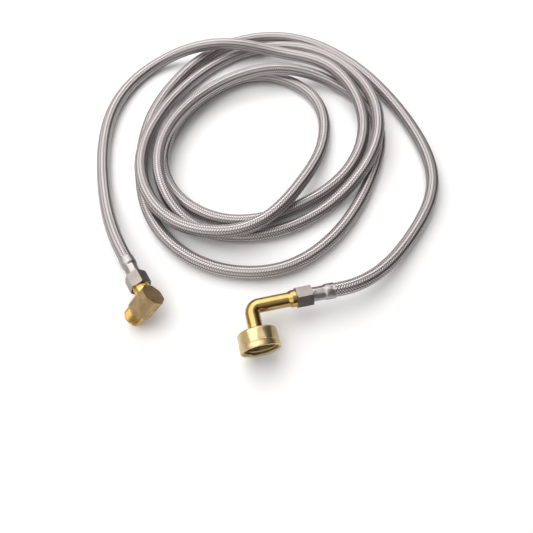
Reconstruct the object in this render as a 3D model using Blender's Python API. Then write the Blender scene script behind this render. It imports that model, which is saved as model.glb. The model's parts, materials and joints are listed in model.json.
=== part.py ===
"""Braided stainless appliance supply line, laid in loose loops on a flat surface.

Metres, +Z up. The origin is on the surface, midway between the two end fittings.
Each end's pieces are turned about the hose axis at that end. There the local +Z
runs from the elbow towards the hose and the local +X runs out of the elbow.
"""
import math

import bmesh
import bpy
import numpy as np
from mathutils import Matrix, Vector

MM = 0.001
GAP = 0.3 * MM                  # room left between pieces that touch

# Hose
HOSE_DIAMETER = 11.7 * MM       # over the braid
BRAID_WALL = 0.6 * MM
TUBE_DIAMETER = HOSE_DIAMETER - 2 * BRAID_WALL - 0.8 * MM
TUBE_WALL = 0.8 * MM
CRIMPED_DIAMETER = 0.8 * HOSE_DIAMETER    # over the braid, under the ferrule's neck
CRIMPED_TUBE_DIAMETER = CRIMPED_DIAMETER - 2 * BRAID_WALL - 0.76 * MM
HOSE_SIDES_SETTING = 2          # bevel resolution, for eight sides
HOSE_SAMPLES = 82               # points along the free stretch
STRAIGHT_OUT = 6.0 * MM         # straight stretch that leaves each ferrule

# Swivel nut, the same at both ends
NUT_FLATS = 15.9 * MM
NUT_LENGTH = 12.7 * MM
NUT_BORE = 14.5 * MM
NUT_BACK_WALL = 3.2 * MM
NUT_CHAMFER = 0.9 * MM

# Crimped ferrule
FERRULE_WALL = 0.55 * MM
FERRULE_NECK_LENGTH = 12.0 * MM
FERRULE_MOUTH_LENGTH = 6.6 * MM
FERRULE_MOUTH_BORE = HOSE_DIAMETER + 0.1 * MM

# Insert stem and cone gasket
STEM_BARB_DIAMETER = CRIMPED_TUBE_DIAMETER - 2 * TUBE_WALL - 1.3 * MM
STEM_BORE = STEM_BARB_DIAMETER - 1.5 * MM
STEM_SHANK_DIAMETER = 7.6 * MM
STEM_FLANGE_DIAMETER = 12.8 * MM
STEM_FLANGE_LENGTH = 2.2 * MM
GASKET_LENGTH = 2.4 * MM
GASKET_DIAMETER = 12.4 * MM

# Bar-stock elbow with a pipe-thread nipple
BAR_FLATS = 19.05 * MM
BAR_BACK = 7.3 * MM             # from the elbow's centre to the bar's closed end
BAR_FRONT = 11.6 * MM           # from the elbow's centre to the nipple
NIPPLE_REACH = 22.3 * MM
NIPPLE_DIAMETER = 16.9 * MM
NIPPLE_END_DIAMETER = 16.4 * MM
NIPPLE_BORE = 10.4 * MM
BOSS_DIAMETER = 13.8 * MM
BOSS_BORE = 7.4 * MM
BAR_TO_NUT = 3.7 * MM           # thread that shows between the bar and the nut

# Formed tube elbow with its coupling nut
ELBOW_TUBE_DIAMETER = 11.5 * MM
ELBOW_TUBE_WALL = 1.1 * MM
ELBOW_BEND_RADIUS = ELBOW_TUBE_DIAMETER / 2 + 0.3 * MM
COLLAR_LENGTH = 3.7 * MM
FLARE_LENGTH = 3.1 * MM
ELBOW_TO_NUT = 36.3 * MM        # from the elbow's centre to the swivel nut
COUPLING_REACH = 35.4 * MM      # from the elbow's centre to the coupling's mouth
COUPLING_LENGTH = 15.4 * MM
COUPLING_DIAMETER = 31.5 * MM
COUPLING_BORE = COUPLING_DIAMETER - 4.7 * MM
COUPLING_BACK_WALL = 2.4 * MM
COUPLING_GRIP_LENGTH = 10.5 * MM
COUPLING_GRIP_FLATS = COUPLING_DIAMETER - 0.6 * MM
COUPLING_GRIP_SIDES = 8
COUPLING_TURN = math.radians(18.1)  # where the coupling has stopped on its tube
FLANGE_DIAMETER = 18.0 * MM
FLANGE_LENGTH = 1.8 * MM
WASHER_LENGTH = 3.0 * MM
WASHER_DIAMETER = COUPLING_BORE - 1.4 * MM
WASHER_BORE = 15.0 * MM

# Where the two elbows lie: plan position, heading of the hose, its rise and the
# outlet's turn about the hose axis from level. Each nut has stopped at its own turn.
LEFT_ELBOW_AT = (-0.0595, 0.0005)
LEFT_HEADING = math.radians(120.5)
LEFT_RISE = math.radians(-2.5)
LEFT_TURN = math.radians(-140.7)
LEFT_NUT_TURN = 0.0
RIGHT_ELBOW_AT = (0.0208, -0.0049)
RIGHT_HEADING = math.radians(13.5)
RIGHT_RISE = math.radians(-1.5)
RIGHT_TURN = math.radians(-6.5)
RIGHT_NUT_TURN = math.radians(18.5)

# The hose's route between its two straight ends, laid by hand: each point is on
# the hose's centre line. On the surface the centre is half a hose up.
ROUTE = [
    (-0.1145, 0.1155, 0.0080),
    (-0.1250, 0.1795, 0.0070),
    (-0.1155, 0.2475, 0.0070),
    (-0.0775, 0.2975, 0.0085),
    (-0.0155, 0.3065, 0.0220),
    (0.0520, 0.3040, 0.0115),
    (0.0990, 0.2700, 0.0215),
    (0.1285, 0.2035, 0.0130),
    (0.1120, 0.1480, 0.0065),
    (0.0610, 0.1020, 0.0060),
    (-0.0015, 0.0870, 0.0060),
    (-0.0560, 0.1250, 0.0060),
    (-0.0635, 0.1855, 0.0060),
    (-0.0285, 0.2465, 0.0060),
    (0.0280, 0.2745, 0.0060),
    (0.0815, 0.2420, 0.0060),
    (0.0880, 0.1795, 0.0075),
    (0.0630, 0.1185, 0.0170),
    (0.0180, 0.0705, 0.0200),
    (-0.0470, 0.0785, 0.0170),
    (-0.0815, 0.1335, 0.0185),
    (-0.0745, 0.2015, 0.0150),
    (-0.0495, 0.2595, 0.0075),
    (0.0020, 0.3090, 0.0060),
    (0.0650, 0.3200, 0.0070),
    (0.1175, 0.2780, 0.0140),
    (0.1405, 0.2205, 0.0185),
    (0.1305, 0.1525, 0.0185),
    (0.0910, 0.1040, 0.0070),
    (0.0320, 0.0720, 0.0070),
    (-0.0335, 0.0825, 0.0075),
    (-0.0640, 0.1290, 0.0190),
    (-0.0540, 0.2015, 0.0185),
    (-0.0120, 0.2495, 0.0185),
    (0.0500, 0.2690, 0.0200),
    (0.1090, 0.2570, 0.0075),
    (0.1425, 0.2070, 0.0065),
    (0.1305, 0.1355, 0.0060),
    (0.1005, 0.0800, 0.0065),
    (0.0465, 0.0375, 0.0065),
    (-0.0185, 0.0405, 0.0075),
    (-0.0660, 0.0835, 0.0065),
    (-0.0855, 0.1485, 0.0060),
    (-0.0825, 0.2150, 0.0060),
    (-0.0575, 0.2745, 0.0060),
    (-0.0100, 0.3250, 0.0060),
    (0.0550, 0.3375, 0.0060),
    (0.1135, 0.3055, 0.0060),
    (0.1540, 0.2505, 0.0070),
    (0.1795, 0.1930, 0.0065),
    (0.1845, 0.1200, 0.0090),
    (0.1570, 0.0665, 0.0075),
]

SMALL_SIDES = 20
LARGE_SIDES = 32


def clear_scene():
    for thing in list(bpy.data.objects):
        bpy.data.objects.remove(thing, do_unlink=True)


def finish(name, colour, metallic, roughness):
    made = bpy.data.materials.new(name)
    made.use_nodes = True
    shader = made.node_tree.nodes["Principled BSDF"]
    shader.inputs["Base Color"].default_value = (*colour, 1.0)
    shader.inputs["Metallic"].default_value = metallic
    shader.inputs["Roughness"].default_value = roughness
    return made


def add_piece(name, mesh, material, frame):
    piece = bpy.data.objects.new(name, mesh)
    bpy.context.scene.collection.objects.link(piece)
    piece.data.materials.append(material)
    piece.parent = frame
    return piece


def as_mesh(name, shape, smooth_under=35.0):
    bmesh.ops.recalc_face_normals(shape, faces=shape.faces)
    mesh = bpy.data.meshes.new(name)
    shape.to_mesh(mesh)
    shape.free()
    mesh.shade_smooth()
    mesh.set_sharp_from_angle(angle=math.radians(smooth_under))
    return mesh


def turned(name, outline, sides, turn=0.0):
    """Turn a closed outline of (radius, height) points about the local Z axis."""
    shape = bmesh.new()
    corners = [shape.verts.new((radius, 0.0, height)) for radius, height in outline]
    for first, second in zip(corners, corners[1:] + corners[:1]):
        shape.edges.new((first, second))
    bmesh.ops.spin(
        shape, geom=shape.verts[:] + shape.edges[:], cent=(0, 0, 0), axis=(0, 0, 1),
        angle=2.0 * math.pi, steps=sides, use_merge=True)
    bmesh.ops.rotate(shape, verts=shape.verts, cent=(0, 0, 0), matrix=Matrix.Rotation(turn, 3, "Z"))
    return as_mesh(name, shape)


def swept_shell(name, rings, sides):
    """Join a closed chain of rings, each a frame and a radius, into one tube wall."""
    shape = bmesh.new()
    frame, radius = rings[0]
    bmesh.ops.create_circle(shape, segments=sides, radius=radius, matrix=frame)
    first = shape.edges[:]
    last = first
    for next_frame, next_radius in rings[1:]:
        grown = bmesh.ops.extrude_edge_only(shape, edges=last)["geom"]
        moved = [part for part in grown if isinstance(part, bmesh.types.BMVert)]
        move = next_frame @ Matrix.Scale(next_radius / radius, 4) @ frame.inverted()
        bmesh.ops.transform(shape, matrix=move, verts=moved)
        last = [part for part in grown if isinstance(part, bmesh.types.BMEdge)
                and all(corner in moved for corner in part.verts)]
        frame, radius = next_frame, next_radius
    bmesh.ops.bridge_loops(shape, edges=first + last)
    return as_mesh(name, shape)


def use_cutter(piece, cutter, operation="DIFFERENCE"):
    cutter.hide_render = True
    cutter.display_type = "WIRE"
    cut = piece.modifiers.new(operation.lower(), "BOOLEAN")
    cut.operation = operation
    cut.object = cutter
    cut.solver = "EXACT"


def to_x_axis():
    """Turn a shape made along local Z so that it lies along local X."""
    return Matrix.Rotation(math.radians(90.0), 4, "Y")


# ---------------------------------------------------------------- end frames

def end_frame(plan, heading, rise, turn, outlet_radius, outlet_reach):
    """Frame of one elbow, at the height where its outlet's rim meets the surface."""
    hose = Vector((math.cos(heading) * math.cos(rise), math.sin(heading) * math.cos(rise), math.sin(rise)))
    side = hose.cross(Vector((0.0, 0.0, 1.0))).normalized()
    outlet = side * math.cos(turn) + side.cross(hose) * math.sin(turn)
    drop = outlet_radius * math.sqrt(1.0 - outlet.z ** 2) - min(0.0, outlet_reach * outlet.z)
    frame = Matrix((outlet, hose.cross(outlet), hose)).transposed().to_4x4()
    frame.translation = (plan[0], plan[1], drop)
    return frame


def frame_empty(name, frame):
    empty = bpy.data.objects.new(name, None)
    bpy.context.scene.collection.objects.link(empty)
    empty.matrix_world = frame
    return empty


# ------------------------------------------------------- pieces at a hose end

def flange_in_nut(nut_start):
    """Height where the stem's flange starts, against the nut's back wall."""
    return nut_start + NUT_LENGTH - NUT_BACK_WALL - GAP - STEM_FLANGE_LENGTH


def gasket_in_nut(nut_start):
    return flange_in_nut(nut_start) - GAP - GASKET_LENGTH


def seat_in_nut(nut_start):
    """Height where an elbow's boss ends, against the gasket."""
    return gasket_in_nut(nut_start) - GAP


def swivel_nut(name, frame, start, turn, material):
    """Hexagonal nut: threaded in front, with a back wall that pulls on the stem's flange."""
    corner = NUT_FLATS / 2 / math.cos(math.pi / 6)
    end = start + NUT_LENGTH
    hole = STEM_SHANK_DIAMETER / 2 + 2 * GAP
    outline = [
        (corner - NUT_CHAMFER, start), (corner, start + NUT_CHAMFER / 2),
        (corner, end - NUT_CHAMFER / 2), (corner - NUT_CHAMFER, end),
        (hole, end), (hole, end - NUT_BACK_WALL),
        (NUT_BORE / 2, end - NUT_BACK_WALL), (NUT_BORE / 2, start)]
    nut = add_piece(name, turned(name, outline, LARGE_SIDES), material, frame)
    outside = 1.4 * corner
    flats = [
        (corner, start - GAP), (outside, start - GAP), (outside, end + GAP), (corner, end + GAP)]
    cutter_mesh = turned(name + "_flats", flats, 6, math.radians(30.0) + turn)
    use_cutter(nut, add_piece(name + "_flats", cutter_mesh, material, frame))
    return nut


def ferrule(name, frame, start, material):
    """Thin steel sleeve, crimped to a neck behind the nut and open at the hose."""
    neck_end = start + FERRULE_NECK_LENGTH
    mouth = neck_end + FERRULE_MOUTH_LENGTH
    neck = CRIMPED_DIAMETER / 2 + GAP + 0.1 * MM
    front = STEM_SHANK_DIAMETER / 2 + GAP
    mouth_bore = FERRULE_MOUTH_BORE / 2
    slope = 1.4 * MM
    outline = [
        (front, start), (neck + FERRULE_WALL, start),
        (neck + FERRULE_WALL, neck_end - slope), (mouth_bore + FERRULE_WALL, neck_end),
        (mouth_bore + FERRULE_WALL, mouth), (mouth_bore, mouth),
        (mouth_bore, neck_end), (neck, neck_end - slope),
        (neck, start + FERRULE_WALL), (front, start + FERRULE_WALL)]
    return add_piece(name, turned(name, outline, LARGE_SIDES), material, frame)


def insert_stem(name, frame, flange_start, nut_end, material):
    """Barbed brass stem: a flange held by the nut, a shank through it and barbs in the tube."""
    flange_end = flange_start + STEM_FLANGE_LENGTH
    shank_end = nut_end + GAP + FERRULE_WALL + GAP
    bore = STEM_BORE / 2
    barb = STEM_BARB_DIAMETER / 2
    valley = barb - 0.25 * MM
    outline = [
        (bore, flange_start), (STEM_FLANGE_DIAMETER / 2, flange_start),
        (STEM_FLANGE_DIAMETER / 2, flange_end), (STEM_SHANK_DIAMETER / 2, flange_end),
        (STEM_SHANK_DIAMETER / 2, shank_end), (valley, shank_end)]
    barb_length = 2.2 * MM
    for index in range(4):
        root = shank_end + (index + 0.25) * barb_length
        outline += [(valley, root), (barb, root), (valley, root + 0.75 * barb_length)]
    outline += [(bore, shank_end + 4 * barb_length)]
    return add_piece(name, turned(name, outline, SMALL_SIDES), material, frame)


def cone_gasket(name, frame, start, material):
    """Rubber cone washer pressed between the elbow's boss and the stem's flange."""
    end = start + GASKET_LENGTH
    outer = GASKET_DIAMETER / 2
    inner = STEM_BORE / 2 + 0.6 * MM
    nose = outer - 2.2 * MM
    outline = [(inner, start), (nose, start), (outer, end - 0.8 * MM), (outer, end), (inner, end)]
    return add_piece(name, turned(name, outline, SMALL_SIDES), material, frame)


def hose_end(side, frame, nut_start, nut_turn, finishes):
    """The pieces that both ends share. Returns the height where the ferrule opens."""
    nut_end = nut_start + NUT_LENGTH
    ferrule_start = nut_end + GAP
    swivel_nut(side + "_swivel_nut", frame, nut_start, nut_turn, finishes["nickel"])
    ferrule(side + "_ferrule", frame, ferrule_start, finishes["steel"])
    insert_stem(side + "_insert_stem", frame, flange_in_nut(nut_start), nut_end, finishes["brass"])
    cone_gasket(side + "_cone_gasket", frame, gasket_in_nut(nut_start), finishes["rubber"])
    return ferrule_start + FERRULE_NECK_LENGTH + FERRULE_MOUTH_LENGTH


# ------------------------------------------------------------- the two elbows

def block_elbow(frame, finishes):
    """Octagonal bar cross-drilled as an elbow, with a boss for the nut and a pipe nipple."""
    brass = finishes["brass"]
    name = "block_elbow"
    shape = bmesh.new()
    bmesh.ops.create_cone(
        shape, cap_ends=True, segments=8, depth=BAR_BACK + BAR_FRONT,
        radius1=BAR_FLATS / 2 / math.cos(math.pi / 8), radius2=BAR_FLATS / 2 / math.cos(math.pi / 8))
    bmesh.ops.rotate(shape, verts=shape.verts, cent=(0, 0, 0), matrix=Matrix.Rotation(math.pi / 8, 3, "Z"))
    bmesh.ops.translate(shape, verts=shape.verts, vec=(0, 0, (BAR_FRONT - BAR_BACK) / 2))
    bmesh.ops.transform(shape, verts=shape.verts, matrix=to_x_axis())
    elbow = add_piece(name, as_mesh(name, shape), brass, frame)

    nipple_outline = [
        (NIPPLE_BORE / 2, BAR_FRONT - 2 * MM), (NIPPLE_DIAMETER / 2, BAR_FRONT - 2 * MM),
        (NIPPLE_DIAMETER / 2, BAR_FRONT), (NIPPLE_END_DIAMETER / 2, NIPPLE_REACH - 0.8 * MM),
        (NIPPLE_END_DIAMETER / 2 - 0.6 * MM, NIPPLE_REACH), (NIPPLE_BORE / 2, NIPPLE_REACH)]
    nipple_mesh = turned("nipple", nipple_outline, LARGE_SIDES)
    nipple_mesh.transform(to_x_axis())
    use_cutter(elbow, add_piece("nipple", nipple_mesh, brass, frame), "UNION")

    boss_end = seat_in_nut(left_nut_start())
    boss_outline = [
        (BOSS_BORE / 2, BAR_FLATS / 2 - 2 * MM), (BOSS_DIAMETER / 2, BAR_FLATS / 2 - 2 * MM),
        (BOSS_DIAMETER / 2, boss_end - 0.5 * MM), (BOSS_DIAMETER / 2 - 0.5 * MM, boss_end),
        (BOSS_BORE / 2, boss_end)]
    boss = add_piece("boss", turned("boss", boss_outline, LARGE_SIDES), brass, frame)
    use_cutter(elbow, boss, "UNION")

    for label, bore, start, end, along_x in (
            ("outlet_bore", NIPPLE_BORE, -BOSS_BORE / 2, NIPPLE_REACH + 2 * MM, True),
            ("inlet_bore", BOSS_BORE, 0.0, boss_end + 2 * MM, False)):
        shape = bmesh.new()
        bmesh.ops.create_cone(
            shape, cap_ends=True, segments=SMALL_SIDES, depth=end - start, radius1=bore / 2, radius2=bore / 2)
        bmesh.ops.translate(shape, verts=shape.verts, vec=(0, 0, (start + end) / 2))
        if along_x:
            bmesh.ops.transform(shape, verts=shape.verts, matrix=to_x_axis())
        use_cutter(elbow, add_piece(label, as_mesh(label, shape), brass, frame))


def left_nut_start():
    return BAR_FLATS / 2 + BAR_TO_NUT


def tube_elbow(frame, finishes):
    """Brass tube bent square: a flared collar in the swivel nut, a flange in the coupling."""
    wide = BOSS_DIAMETER / 2
    tube = ELBOW_TUBE_DIAMETER / 2
    bore = tube - ELBOW_TUBE_WALL
    bend = ELBOW_BEND_RADIUS
    boss_end = seat_in_nut(ELBOW_TO_NUT)
    collar = ELBOW_TO_NUT - COLLAR_LENGTH
    flange = flange_start()
    flange_end = flange + FLANGE_LENGTH

    def on_leg(height):
        return Matrix.Translation((0, 0, height))

    def on_outlet(reach):
        return Matrix.Translation((reach, 0, 0)) @ to_x_axis()

    def on_bend(angle):
        turn = Matrix.Rotation(-angle, 4, "Y")
        pivot = Matrix.Translation((bend, 0, bend))
        return pivot @ turn @ pivot.inverted() @ on_leg(bend)

    steps = 6
    bend_frames = [on_bend(math.pi / 2 * step / steps) for step in range(steps + 1)]
    mirrored = Matrix.Rotation(math.pi, 4, "Y")
    outside = [(on_leg(boss_end), wide - 0.5 * MM), (on_leg(boss_end - 0.5 * MM), wide),
               (on_leg(collar), wide), (on_leg(collar - FLARE_LENGTH), tube)]
    outside += [(placed, tube) for placed in bend_frames]
    outlet = [(flange, tube), (flange, FLANGE_DIAMETER / 2), (flange_end, FLANGE_DIAMETER / 2),
              (flange_end, bore)]
    outside += [(on_outlet(reach) @ mirrored, radius) for reach, radius in outlet]
    inside = [(placed, bore) for placed in reversed(bend_frames)] + [(on_leg(boss_end), bore)]
    mesh = swept_shell("tube_elbow", outside + inside, SMALL_SIDES)
    return add_piece("tube_elbow", mesh, finishes["polished_brass"], frame)


def flange_start():
    return COUPLING_REACH - COUPLING_LENGTH + COUPLING_BACK_WALL + GAP


def coupling_nut(frame, finishes):
    """Garden-hose coupling: eight grip facets, a plain skirt and a threaded mouth."""
    start = COUPLING_REACH - COUPLING_LENGTH
    end = COUPLING_REACH
    outer = COUPLING_DIAMETER / 2
    hole = ELBOW_TUBE_DIAMETER / 2 + GAP
    shoulder = 1.2 * MM
    outline = [
        (hole, start), (outer - shoulder, start), (outer, start + shoulder),
        (outer, end - 0.5 * MM), (outer - 0.5 * MM, end), (COUPLING_BORE / 2, end),
        (COUPLING_BORE / 2, start + COUPLING_BACK_WALL), (hole, start + COUPLING_BACK_WALL)]
    mesh = turned("coupling_nut", outline, LARGE_SIDES)
    mesh.transform(to_x_axis())
    nut = add_piece("coupling_nut", mesh, finishes["satin_brass"], frame)
    corner = COUPLING_GRIP_FLATS / 2 / math.cos(math.pi / COUPLING_GRIP_SIDES)
    outside = outer + 2 * MM
    grip_end = start + COUPLING_GRIP_LENGTH
    flats = [(corner, start - GAP), (outside, start - GAP), (outside, grip_end), (corner, grip_end)]
    cutter_mesh = turned("grip_facets", flats, COUPLING_GRIP_SIDES, COUPLING_TURN)
    cutter_mesh.transform(to_x_axis())
    use_cutter(nut, add_piece("grip_facets", cutter_mesh, finishes["satin_brass"], frame))


def hose_washer(frame, finishes):
    start = flange_start() + FLANGE_LENGTH + GAP
    end = start + WASHER_LENGTH
    outline = [
        (WASHER_BORE / 2, start), (WASHER_DIAMETER / 2, start),
        (WASHER_DIAMETER / 2, end), (WASHER_BORE / 2, end)]
    mesh = turned("hose_washer", outline, SMALL_SIDES)
    mesh.transform(to_x_axis())
    add_piece("hose_washer", mesh, finishes["rubber"], frame)


# -------------------------------------------------------------------- the hose

def smooth_route(points, start_direction, end_direction, count):
    """Even points along the cubic spline through the route, tangent to both ferrules."""
    places = np.array(points)
    steps = np.linalg.norm(np.diff(places, axis=0), axis=1)
    last = len(places) - 1
    system = np.eye(last + 1)
    wanted = np.zeros_like(places)
    wanted[0], wanted[last] = start_direction, end_direction
    for index in range(1, last):
        before, after = steps[index - 1], steps[index]
        system[index, index - 1:index + 2] = after, 2 * (before + after), before
        wanted[index] = 3 * (after / before * (places[index] - places[index - 1])
                             + before / after * (places[index + 1] - places[index]))
    slopes = np.linalg.solve(system, wanted)
    share = np.linspace(0.0, 1.0, 40, endpoint=False)[:, None]
    dense = []
    for index in range(last):
        length = steps[index]
        dense.append(
            (2 * share ** 3 - 3 * share ** 2 + 1) * places[index]
            + (share ** 3 - 2 * share ** 2 + share) * length * slopes[index]
            + (3 * share ** 2 - 2 * share ** 3) * places[index + 1]
            + (share ** 3 - share ** 2) * length * slopes[index + 1])
    dense = np.vstack(dense + [places[last:]])
    along = np.concatenate(([0.0], np.cumsum(np.linalg.norm(np.diff(dense, axis=0), axis=1))))
    even = np.linspace(0.0, along[-1], count)
    return [Vector(np.interp(even, along, dense[:, axis])[i] for axis in range(3)) for i in range(count)]


def hose_layer(name, path, radii, wall, material):
    """One layer of the hose: a curve with a bevel, given its wall by Solidify."""
    curve = bpy.data.curves.new(name, "CURVE")
    curve.dimensions = "3D"
    curve.bevel_depth = radii[len(radii) // 2]
    curve.bevel_resolution = HOSE_SIDES_SETTING
    curve.resolution_u = 1
    curve.render_resolution_u = 0
    curve.use_fill_caps = False
    spline = curve.splines.new("POLY")
    spline.points.add(len(path) - 1)
    for point, place, radius in zip(spline.points, path, radii):
        point.co = (*place, 1.0)
        point.radius = radius / curve.bevel_depth
    layer = add_piece(name, curve, material, None)
    shell = layer.modifiers.new("wall", "SOLIDIFY")
    shell.thickness = wall
    shell.offset = -1.0
    shell.use_even_offset = True
    return layer


def hose(left_frame, left_mouth, right_frame, right_mouth, finishes):
    """Braid and inner tube along one path, from inside one ferrule to inside the other."""
    mouth_share = (FERRULE_MOUTH_BORE / 2 - 2 * GAP + 0.2 * MM) / (HOSE_DIAMETER / 2)
    crimped = CRIMPED_DIAMETER / HOSE_DIAMETER
    crimped_tube = CRIMPED_TUBE_DIAMETER / TUBE_DIAMETER
    cut_back = FERRULE_MOUTH_LENGTH + FERRULE_NECK_LENGTH - FERRULE_WALL - 2 * GAP - 0.4 * MM
    stations = (
        (-cut_back, crimped, crimped_tube),
        (-FERRULE_MOUTH_LENGTH - 2.0 * MM, crimped, crimped_tube),
        (GAP, mouth_share, mouth_share))

    def on_axis(frame, height):
        return frame @ Vector((0.0, 0.0, height))

    left_axis = left_frame.col[2].xyz
    right_axis = right_frame.col[2].xyz
    start = on_axis(left_frame, left_mouth + STRAIGHT_OUT)
    end = on_axis(right_frame, right_mouth + STRAIGHT_OUT)
    route = [start] + [Vector(point) for point in ROUTE] + [end]
    free = smooth_route(route, left_axis, -right_axis, HOSE_SAMPLES)
    left_points = [on_axis(left_frame, left_mouth + height) for height, _, _ in stations]
    right_points = [on_axis(right_frame, right_mouth + height) for height, _, _ in reversed(stations)]
    path = left_points + free + right_points
    for name, diameter, wall, column, material in (
            ("braid_sleeve", HOSE_DIAMETER, BRAID_WALL, 1, finishes["steel"]),
            ("inner_tube", TUBE_DIAMETER, TUBE_WALL, 2, finishes["plastic"])):
        shares = [station[column] for station in stations]
        radii = [diameter / 2 * share for share in shares + [1.0] * len(free) + shares[::-1]]
        hose_layer(name, path, radii, wall, material)


def build():
    clear_scene()
    finishes = {
        "steel": finish("braid_steel", (0.52, 0.49, 0.48), 1.0, 0.38),
        "nickel": finish("nickel_plate", (0.55, 0.51, 0.49), 1.0, 0.35),
        "brass": finish("bar_brass", (0.50, 0.37, 0.20), 1.0, 0.42),
        "polished_brass": finish("polished_brass", (0.72, 0.52, 0.20), 1.0, 0.20),
        "satin_brass": finish("satin_brass", (0.66, 0.50, 0.29), 1.0, 0.38),
        "rubber": finish("black_rubber", (0.03, 0.03, 0.03), 0.0, 0.70),
        "plastic": finish("tube_plastic", (0.60, 0.58, 0.52), 0.0, 0.50),
    }
    nipple_radius = NIPPLE_END_DIAMETER / 2
    left = end_frame(LEFT_ELBOW_AT, LEFT_HEADING, LEFT_RISE, LEFT_TURN, nipple_radius, NIPPLE_REACH)
    right = end_frame(
        RIGHT_ELBOW_AT, RIGHT_HEADING, RIGHT_RISE, RIGHT_TURN, COUPLING_DIAMETER / 2, COUPLING_REACH)
    left_axis = frame_empty("left_end", left)
    right_axis = frame_empty("right_end", right)
    left_mouth = hose_end("left", left_axis, left_nut_start(), LEFT_NUT_TURN, finishes)
    right_mouth = hose_end("right", right_axis, ELBOW_TO_NUT, RIGHT_NUT_TURN, finishes)
    block_elbow(left_axis, finishes)
    tube_elbow(right_axis, finishes)
    coupling_nut(right_axis, finishes)
    hose_washer(right_axis, finishes)
    hose(left, left_mouth, right, right_mouth, finishes)
    bpy.context.view_layer.update()


build()
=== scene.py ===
"""Braided stainless supply line, with its fittings, laid in loose loops on a pale surface."""
import json
import math

import bmesh
import bpy
import numpy as np
from mathutils import Matrix, Vector


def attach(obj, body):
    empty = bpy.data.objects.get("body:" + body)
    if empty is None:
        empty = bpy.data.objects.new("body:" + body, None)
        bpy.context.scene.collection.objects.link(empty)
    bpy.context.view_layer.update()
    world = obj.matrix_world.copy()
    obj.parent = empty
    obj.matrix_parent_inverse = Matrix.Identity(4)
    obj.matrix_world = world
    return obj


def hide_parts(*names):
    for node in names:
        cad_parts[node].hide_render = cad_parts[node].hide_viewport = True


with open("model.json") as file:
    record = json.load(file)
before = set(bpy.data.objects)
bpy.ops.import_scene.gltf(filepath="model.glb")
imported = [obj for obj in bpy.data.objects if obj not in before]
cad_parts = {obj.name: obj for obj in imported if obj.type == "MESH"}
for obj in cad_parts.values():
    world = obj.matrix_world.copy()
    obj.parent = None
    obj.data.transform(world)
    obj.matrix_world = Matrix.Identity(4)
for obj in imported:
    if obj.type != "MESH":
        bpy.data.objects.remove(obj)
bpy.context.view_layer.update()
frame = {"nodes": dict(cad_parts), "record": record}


# ------------------------------------------------------------------ inner tube
# The water-tight tube of the hose, extruded from a dark reinforced plastic. It is
# cut to length, pushed over a barbed stem at each end, and laid in loose loops.
MM = 0.001
TUBE_DIAMETER = 10.5 * MM
STRAIGHT_OUT = 6.0 * MM              # straight stretch that leaves each ferrule
PATH_POINTS = 1200                   # along the stretch between the two straight ones
INTO_FERRULE = 4.0 * MM
LEFT_MOUTH = 44.825 * MM             # from each elbow's centre to its ferrule's mouth
RIGHT_MOUTH = 67.9 * MM
# The route's points, on the hose's centre line. They were fitted together by
# calculation, so that the turns clear the surface and each other, and then rounded.
ROUTE = [
    (-0.1145, 0.1155, 0.0080),
    (-0.1250, 0.1795, 0.0070),
    (-0.1155, 0.2475, 0.0070),
    (-0.0775, 0.2975, 0.0085),
    (-0.0155, 0.3065, 0.0220),
    (0.0520, 0.3040, 0.0115),
    (0.0990, 0.2700, 0.0215),
    (0.1285, 0.2035, 0.0130),
    (0.1120, 0.1480, 0.0065),
    (0.0610, 0.1020, 0.0060),
    (-0.0015, 0.0870, 0.0060),
    (-0.0560, 0.1250, 0.0060),
    (-0.0635, 0.1855, 0.0060),
    (-0.0285, 0.2465, 0.0060),
    (0.0280, 0.2745, 0.0060),
    (0.0815, 0.2420, 0.0060),
    (0.0880, 0.1795, 0.0075),
    (0.0630, 0.1185, 0.0170),
    (0.0180, 0.0705, 0.0200),
    (-0.0470, 0.0785, 0.0170),
    (-0.0815, 0.1335, 0.0185),
    (-0.0745, 0.2015, 0.0150),
    (-0.0495, 0.2595, 0.0075),
    (0.0020, 0.3090, 0.0060),
    (0.0650, 0.3200, 0.0070),
    (0.1175, 0.2780, 0.0140),
    (0.1405, 0.2205, 0.0185),
    (0.1305, 0.1525, 0.0185),
    (0.0910, 0.1040, 0.0070),
    (0.0320, 0.0720, 0.0070),
    (-0.0335, 0.0825, 0.0075),
    (-0.0640, 0.1290, 0.0190),
    (-0.0540, 0.2015, 0.0185),
    (-0.0120, 0.2495, 0.0185),
    (0.0500, 0.2690, 0.0200),
    (0.1090, 0.2570, 0.0075),
    (0.1425, 0.2070, 0.0065),
    (0.1305, 0.1355, 0.0060),
    (0.1005, 0.0800, 0.0065),
    (0.0465, 0.0375, 0.0065),
    (-0.0185, 0.0405, 0.0075),
    (-0.0660, 0.0835, 0.0065),
    (-0.0855, 0.1485, 0.0060),
    (-0.0825, 0.2150, 0.0060),
    (-0.0575, 0.2745, 0.0060),
    (-0.0100, 0.3250, 0.0060),
    (0.0550, 0.3375, 0.0060),
    (0.1135, 0.3055, 0.0060),
    (0.1540, 0.2505, 0.0070),
    (0.1795, 0.1930, 0.0065),
    (0.1845, 0.1200, 0.0090),
    (0.1570, 0.0665, 0.0075),
]

joints = {joint["name"]: joint for joint in frame["record"]["behaviour"]["joints"]}
mounts = {mount["name"]: mount for mount in frame["record"]["mounts"]}


def end_frame(nut_joint, outlet_mount):
    """Frame of an elbow: the local +Z runs to the hose and the local +X out of the outlet."""
    hose_way = Vector(nut_joint["axis"]).normalized()
    outlet_way = Vector(outlet_mount["axis"]).normalized()
    placed = Matrix((outlet_way, hose_way.cross(outlet_way), hose_way)).transposed().to_4x4()
    placed.translation = nut_joint["pos_m"]
    return placed


left_end = end_frame(joints["left_nut_spin"], mounts["nipple_face"])
right_end = end_frame(joints["right_nut_spin"], mounts["coupling_mouth"])


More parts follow.
